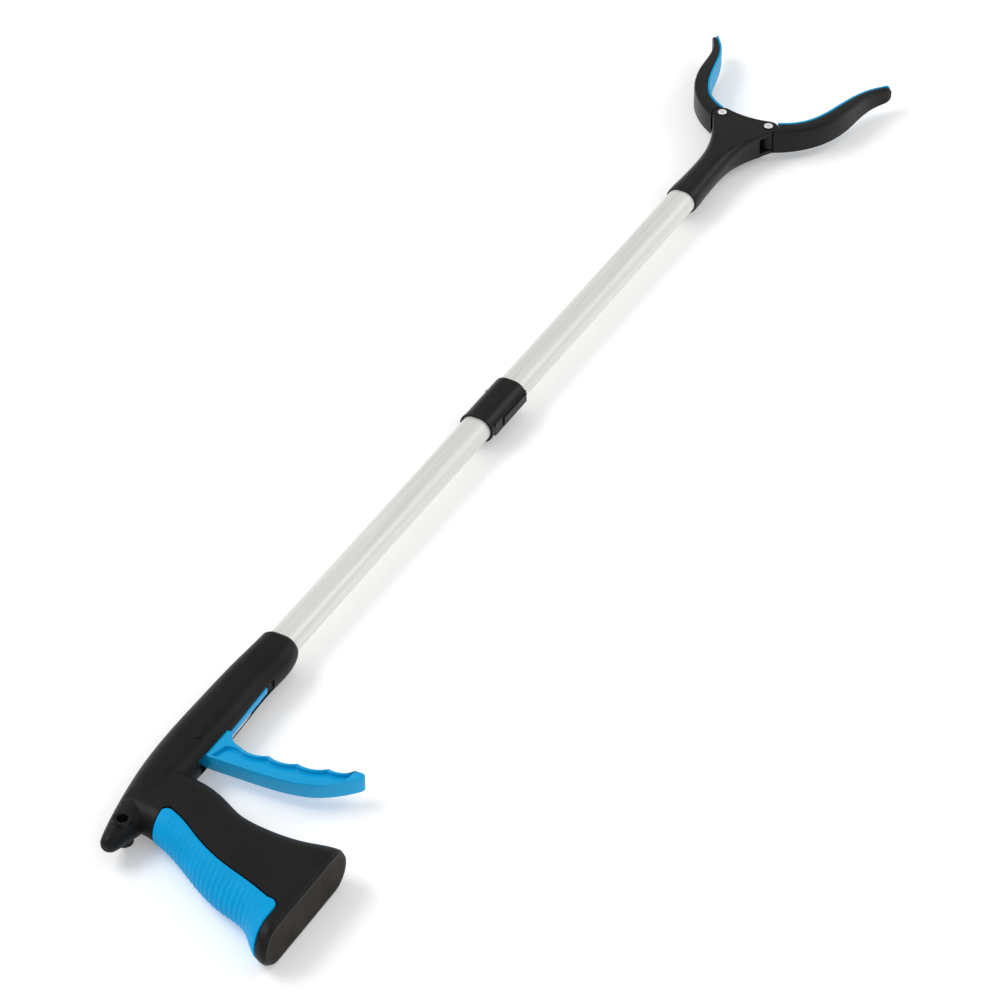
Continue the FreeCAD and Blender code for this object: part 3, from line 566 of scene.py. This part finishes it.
def finger_rings(outer, inner, corner, tip=5.0, count=90):
    """Sections from the inner to the outer curve that shrink to a round tip."""
    a, b = np.array(smooth(outer, count)), np.array(smooth(inner, count))
    mid = (a + b) / 2
    run = np.concatenate([[0], np.cumsum(np.linalg.norm(np.diff(mid, axis=0), axis=1))])
    rings = []
    for i in range(count):
        left = run[-1] - run[i]
        shrink = math.sqrt(max(0.0, 1 - (1 - min(left / tip, 1.0)) ** 2)) if left < tip else 1.0
        shrink = max(shrink, 0.12)
        half = float(np.interp(mid[i][0], *JAW_HEIGHTS)) * (0.35 + 0.65 * shrink)
        across = np.linalg.norm(a[i] - b[i])
        way = (a[i] - b[i]) / across
        wide = across * (0.45 + 0.55 * shrink)
        start = b[i] + way * (across - wide) / 2
        rounding = min(corner, 0.48 * wide)
        rings.append([(*(start + way * s), h) for s, h in rounded_section(wide, half, rounding)])
    return rings


def offset_points(points, depth):
    """Points moved sideways by depth, to the left of the way along them."""
    p = np.array(smooth(points, 60))
    way = np.gradient(p, axis=0)
    way /= np.linalg.norm(way, axis=1)[:, None]
    moved = p + np.stack([-way[:, 1], way[:, 0]], axis=1) * depth
    return [tuple(q) for q in moved[::6]] + [tuple(moved[-1])]


def jaw(side, name):
    """Finger with rounded edges, the boss on the rivet and the thin arm that the yoke pulls."""
    finger = loft("finger", finger_rings(JAW_OUTER, offset_points(JAW_INNER, LINER), 1.5))
    lug = plate("lug", [circle(RIVET, LUG_R + 0.5)], (-20, 20), 0.01)
    carve(finger, [lug])
    inside = FORK_HALF - 0.1
    boss = plate("boss", [circle(RIVET, LUG_R), circle(RIVET, RIVET_SHANK_R + 0.1, 32)], (-inside, inside), 0.2)
    x, y = RIVET
    bridge = plate("bridge", [[(x - 4.0, y + 1.5), (x + 3.6, y + 1.5), (x + 8.0, y + 12.0), (x + 1.0, y + 12.0)]],
                   (-inside, inside), 0.2)
    parts = [finger, boss, bridge, arm()]
    obj = join(name + "_finger", parts)
    if side < 0:
        flip(obj)
    shade(obj, 40)
    finish_piece(obj, SMOOTH_BLACK, name, "black_plastic", name)


def arm():
    """Round-ended arm from the rivet to the yoke pin, with the pin's slot left as a round hole."""
    pin = np.array([RIVET[0] + PIN_AHEAD, PIN_Y])
    rivet = np.array(RIVET)
    way = (pin - rivet) / np.linalg.norm(pin - rivet)
    side = np.array([-way[1], way[0]])
    tip, half = rivet + way * ARM_REACH, side * ARM_HALF_WIDTH
    turn = [tuple(tip + ARM_HALF_WIDTH * (math.cos(a) * side + math.sin(a) * way))
            for a in np.linspace(0, math.pi, 17)]
    outline = turn + [tuple(rivet + way * 4 - half), tuple(rivet + way * 4 + half)]
    hole = circle(tuple(rivet + way * ARM_HOLE_AT), ARM_HOLE_R, 24)
    return plate("arm", [outline, hole], (-ARM_HALF_HEIGHT, ARM_HALF_HEIGHT), 0.2)


def flip(obj):
    """Mirrors a mesh in the plane of the shaft's axis."""
    for v in obj.data.vertices:
        v.co.y = 2 * ORIGIN.y - v.co.y
    obj.data.flip_normals()


def liner(side, name, body):
    """Soft liner: a band along the gripping face, with fine teeth near the tip."""
    count = 150
    seat = offset_points(JAW_INNER, LINER - 0.02)
    a, b = np.array(smooth(seat, count)), np.array(smooth(JAW_INNER, count))
    run = np.concatenate([[0], np.cumsum(np.linalg.norm(np.diff(b, axis=0), axis=1))])
    rings = []
    for i in range(count):
        left = run[-1] - run[i]
        across = np.linalg.norm(b[i] - a[i])
        way = (b[i] - a[i]) / across
        tooth = 0.22 * (0.5 + 0.5 * math.cos(2 * math.pi * run[i] / 1.7)) if 3.0 < left < 26.0 else 0.0
        end = math.sqrt(max(0.0, 1 - (1 - min(left / 3.0, 1.0)) ** 2))
        half = float(np.interp(b[i][0], *JAW_HEIGHTS)) * (0.62 + 0.38 * end) - 0.12
        wide = across * (0.6 + 0.4 * end) - tooth
        rings.append([(*(a[i] + way * s), h) for s, h in rounded_section(wide, half, min(0.6, 0.45 * wide))])
    obj = loft(name + "_pad", rings)
    if side < 0:
        flip(obj)
    shade(obj, 50)
    finish_piece(obj, LINER_BLUE, body, "liner_rubber", name)


# ---- rivets ------------------------------------------------------------------------------------------
def turned(name, profile, centre, count=48):
    """Ring turned about a vertical axis; profile is a closed loop of (radius, height) points."""
    verts, faces = [], []
    n = len(profile)
    for i in range(count):
        a = 2 * math.pi * i / count
        for r, h in profile:
            verts.append(at(centre[0] + r * math.cos(a), centre[1] + r * math.sin(a), h))
    for i in range(count):
        for j in range(n):
            k, m = (j + 1) % n, (i + 1) % count
            faces.append((i * n + j, i * n + k, m * n + k, m * n + j))
    mesh = bpy.data.meshes.new(name)
    mesh.from_pydata(verts, [], faces)
    tidy(mesh)
    return new_object(name, mesh)


def rivets():
    """Hollow rivets with rolled heads."""
    parts = []
    top = PLATE_HALF + 0.25
    shank, bore, floor_z = RIVET_SHANK_R, RIVET_BORE_R, RIVET_FLOOR_Z
    for side in (-1, 1):
        roll = [(1.7 - 0.95 * math.cos(a), top + 0.5 * math.sqrt(math.sin(a))) for a in np.linspace(0.1, 3.0, 14)]
        head = [(bore, floor_z), (bore, top + 0.1)] + roll + [(2.65, top - 0.02), (shank, top - 0.02)]
        foot = [(shank, -top + 0.02), (2.65, -top + 0.02), (2.5, -top - 0.35), (2.0, -top - 0.5),
                (bore, -top - 0.5), (bore, -floor_z), (0.02, -floor_z), (0.02, floor_z)]
        parts.append(turned("rivet", head + foot, (RIVET[0], side * RIVET[1])))
    obj = join("eyelet_rivets", parts)
    shade(obj, 40)
    finish_piece(obj, RIVET_METAL, "upper", "rivet", "jaw_rivets")


# ---- cable and leaf ----------------------------------------------------------------------------------
def tube_mesh(name, points, radius, sides=14):
    """Round tube along points."""
    p = [Vector(q) for q in points]
    rings = []
    for i, q in enumerate(p):
        way = (p[min(i + 1, len(p) - 1)] - p[max(i - 1, 0)]).normalized()
        u = way.cross(Vector((0, 0, 1))).normalized()
        w = way.cross(u)
        rings.append([tuple(q + radius * (math.cos(a) * u + math.sin(a) * w))
                      for a in np.linspace(0, 2 * math.pi, sides, endpoint=False)])
    return loft(name, rings)


def cable_lead():
    """Bend of the cable between the trigger's nipple and the tube."""
    route = [(-243.2, -12.9, -2.1), (-232.0, -12.5, -2.1), (-221.0, -11.6, -1.9), (-210.0, -8.6, -1.0),
             (-204.0, -6.4, -0.3), (-200.4, -4.6, 0.0)]
    obj = tube_mesh("cable_bend", smooth(route, 60), CABLE_R)
    shade(obj, 60)
    obj.data.materials.append(CABLE)
    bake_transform(obj)
    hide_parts("cable_lead")


def cable_fold():
    """Length of cable that crosses the fold."""
    route = [(x, CABLE_Y, 0) for x in (35.95, 52.0, 68.0)]
    obj = tube_mesh("cable_crossing", smooth(route, 40), CABLE_R)
    shade(obj, 60)
    obj.data.materials.append(CABLE)
    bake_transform(obj)
    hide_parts("cable_fold")


def leaf():
    """Flexible leaf, tapered towards its tip, that closes the slot ahead of the trigger."""
    half = (LEAF_Z[1] - LEAF_Z[0]) / 2
    rings = []
    for share in np.linspace(0, 1, 50):
        x = LEAF_X[0] + share * (LEAF_X[1] - LEAF_X[0])
        bottom, top = [r + share * (t - r) for r, t in zip(LEAF_ROOT_Y, LEAF_TIP_Y)]
        section = rounded_section(top - bottom, half, 0.35)
        rings.append([(x, bottom + across, LEAF_Z[0] + half + height) for across, height in section])
    obj = loft("slot_leaf", rings)
    shade(obj, 50)
    obj.data.materials.append(BLUE)
    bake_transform(obj)
    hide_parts("trigger_leaf")


def spring():
    """Return spring of the head, carried rigidly by the upper body."""
    obj = new_object("return_spring", NODES["head_spring"].data.copy())
    obj.data.materials.clear()
    obj.data.materials.append(STEEL)
    shade(obj, 60)
    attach(obj, "upper")
    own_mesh(obj)
    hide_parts("head_spring")


# ---- floor, lights and camera ------------------------------------------------------------------------
def floor():
    mesh = bpy.data.meshes.new("floor")
    r = 6.0
    mesh.from_pydata([(-r, -r, 0), (r, -r, 0), (r, r, 0), (-r, r, 0)], [], [(0, 1, 2, 3)])
    obj = new_object("floor", mesh)
    s = Surface("floor_paper", (0.93, 0.93, 0.93), 0.9, specular=0.1)
    s.tint(3, 0.995, 1.0)
    s.shader.inputs["Emission Color"].default_value = (1, 1, 1, 1)
    s.shader.inputs["Emission Strength"].default_value = 0.22
    obj.data.materials.append(s.material)


def area_light(name, place, target, size, power):
    light = bpy.data.lights.new(name, "AREA")
    light.shape = "RECTANGLE"
    light.size, light.size_y = size
    light.energy = power
    obj = bpy.data.objects.new(name, light)
    obj.location = place
    obj.rotation_euler = (target - Vector(place)).to_track_quat("-Z", "Y").to_euler()
    bpy.context.scene.collection.objects.link(obj)


def lights():
    world = bpy.data.worlds.new("studio")
    world.use_nodes = True
    background = world.node_tree.nodes["Background"]
    background.inputs["Color"].default_value = (1, 1, 1, 1)
    background.inputs["Strength"].default_value = 0.55
    bpy.context.scene.world = world
    middle = at(0, 0)
    area_light("key", (-0.6, 1.5, 1.9), middle, (1.6, 1.0), 26)
    area_light("fill", (1.6, -1.2, 1.2), middle, (1.2, 1.2), 9)
    area_light("front", (-1.5, -1.6, 1.4), middle, (1.2, 1.2), 7)


def camera():
    azimuth, elevation = 0.5057, 0.6859
    distance = 2.09517
    look_at = at(-19.53, -40.36)
    view = Vector((math.cos(elevation) * math.cos(azimuth), math.cos(elevation) * math.sin(azimuth),
                   -math.sin(elevation)))
    data = bpy.data.cameras.new("camera")
    data.lens = 144.3
    data.sensor_width = 36.0
    data.clip_end = 100
    obj = bpy.data.objects.new("camera", data)
    obj.location = look_at - view * distance
    obj.rotation_euler = view.to_track_quat("-Z", "Y").to_euler()
    bpy.context.scene.collection.objects.link(obj)
    bpy.context.scene.camera = obj


bpy.context.scene.view_settings.view_transform = "Standard"
paint_nodes()
grip_pad()
trigger()
jaw(1, "jaw_left")
jaw(-1, "jaw_right")
liner(1, "liner_left", "jaw_left")
liner(-1, "liner_right", "jaw_right")
rivets()
cable_lead()
cable_fold()
leaf()
spring()
floor()
lights()
camera()
